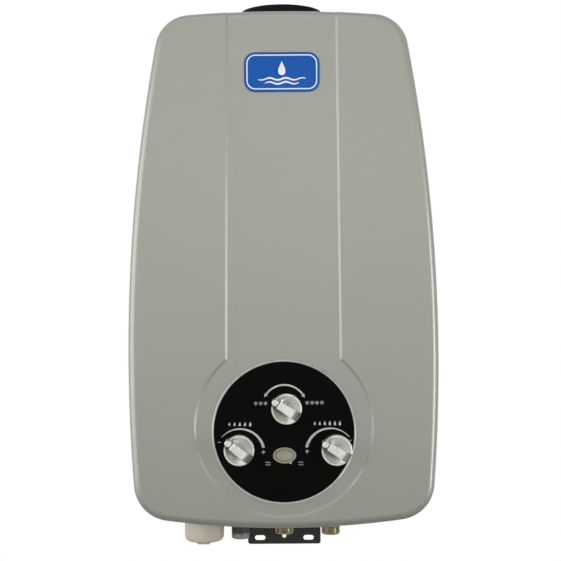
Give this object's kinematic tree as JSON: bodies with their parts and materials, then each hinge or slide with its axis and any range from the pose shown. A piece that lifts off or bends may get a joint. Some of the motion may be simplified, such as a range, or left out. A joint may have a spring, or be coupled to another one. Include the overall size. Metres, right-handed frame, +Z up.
{
  "type": "tankless gas water heater",
  "caption": "Wall-hung tankless gas water heater: rounded silver-grey casing with a keyhole recess, round black panel with turning knobs, flue collar and pipe stubs.",
  "frame": {"origin": "on the wall plane, at the back plate's rear face, level with the middle of the casing", "axes": "+X right as seen from the front, +Y into the wall, +Z up; the front faces -Y"},
  "size_m": [0.33, 0.1722, 0.614],
  "materials": {
    "cover_paint": "silver-grey stove enamel with a fine metallic grain",
    "sheet_steel": "zinc-coated sheet",
    "screw_steel": "zinc-plated",
    "burner_steel": "stainless, heat-tinted",
    "copper": "bare copper",
    "brass": "turned and cast brass",
    "cast_aluminium": "die-cast, matte grey",
    "black_paint": "matte black paint",
    "rubber": "matte",
    "black_plastic": "moulded",
    "ceramic": null,
    "cell_jacket": "plain steel jacket",
    "wire_jacket": "silicone rubber",
    "cap_cream": "cream moulded plastic",
    "panel_black": "gloss black",
    "bezel_chrome": "polished",
    "display_grey": "grey moulded rim",
    "window": "grey-green display glass",
    "knob_silver": "satin silver plating on plastic",
    "badge_blue": "blue enamel"
  },
  "bodies": {
    "casing": {"front_cover": "cover_paint", "back_plate": "sheet_steel", "lower_bracket": "black_paint", "flue_collar": "black_paint", "gas_inlet_nipple": "cast_aluminium", "cold_inlet_fitting": "brass", "hot_outlet_fitting": "brass", "control_panel": "panel_black", "panel_bezel": "bezel_chrome", "display_frame": "display_grey", "display_window": "window", "badge_plate": "badge_blue", "cover_screws": "screw_steel", "hanger_bracket": "sheet_steel", "bracket_rivets": "screw_steel", "fitting_shelf": "sheet_steel", "draft_hood": "sheet_steel", "combustion_chamber": "copper", "core_brackets": "sheet_steel", "exchanger_fins": "copper", "exchanger_tube": "copper", "cold_feed_pipe": "copper", "hot_outlet_pipe": "copper", "union_nuts": "brass", "burner_tray": "sheet_steel", "burner_blades": "burner_steel", "gas_manifold": "cast_aluminium", "gas_nozzles": "brass", "gas_pipes": "cast_aluminium", "season_valve_body": "cast_aluminium", "gas_valve_body": "cast_aluminium", "gas_valve_plug": "brass", "solenoid_valve": "screw_steel", "water_valve_body": "brass", "water_valve_cover": "brass", "diaphragm": "rubber", "valve_screws": "screw_steel", "inlet_filter": "black_plastic", "lock_nuts": "brass", "microswitch": "black_plastic", "igniter_box": "black_plastic", "electrode_bracket": "sheet_steel", "ignition_electrode": "ceramic", "flame_sensor": "ceramic", "overheat_thermostat": "black_plastic", "battery_box": "black_plastic", "batteries": "cell_jacket", "battery_contact": "brass", "display_module": "black_plastic", "wiring": "wire_jacket"},
    "gas_knob": {"gas_knob": "knob_silver", "gas_spindle": "screw_steel"},
    "water_knob": {"water_knob": "knob_silver", "water_spindle": "brass"},
    "season_knob": {"season_knob": "knob_silver", "season_spindle": "screw_steel"},
    "battery_cap": {"battery_cap": "cap_cream", "cap_contact": "brass"},
    "push_rod": {"push_rod": "brass"},
    "switch_lever": {"switch_lever": "screw_steel"}
  },
  "joints": [
    {"name": "gas_turn", "type": "hinge", "parent": "casing", "child": "gas_knob", "pos_m": [-0.0472, -0.1522, -0.1898], "axis": [0, 1, 0], "range_deg": [0, 130]},
    {"name": "water_turn", "type": "hinge", "parent": "casing", "child": "water_knob", "pos_m": [0.0553, -0.1522, -0.1901], "axis": [0, 1, 0], "range_deg": [-20, 110]},
    {"name": "season_turn", "type": "hinge", "parent": "casing", "child": "season_knob", "pos_m": [0.0029, -0.1522, -0.1466], "axis": [0, 1, 0], "range_deg": [0, 110]},
    {"name": "battery_cap_twist", "type": "hinge", "parent": "casing", "child": "battery_cap", "pos_m": [-0.0897, -0.075, -0.29], "axis": [0, 0, 1], "range_deg": [0, 60]},
    {"name": "push_rod_slide", "type": "slide", "parent": "casing", "child": "push_rod", "axis": [-1, 0, 0], "range_m": [0, 0.004], "stiffness_N_per_m": 300},
    {"name": "lever_swing", "type": "hinge", "parent": "casing", "child": "switch_lever", "pos_m": [0.0013, -0.0804, -0.2055], "axis": [0, 1, 0], "range_deg": [0, 20]}
  ],
  "couplings": [
    {"joint": "lever_swing", "follows": "push_rod_slide", "rad_per_m": 82.903}
  ]
}
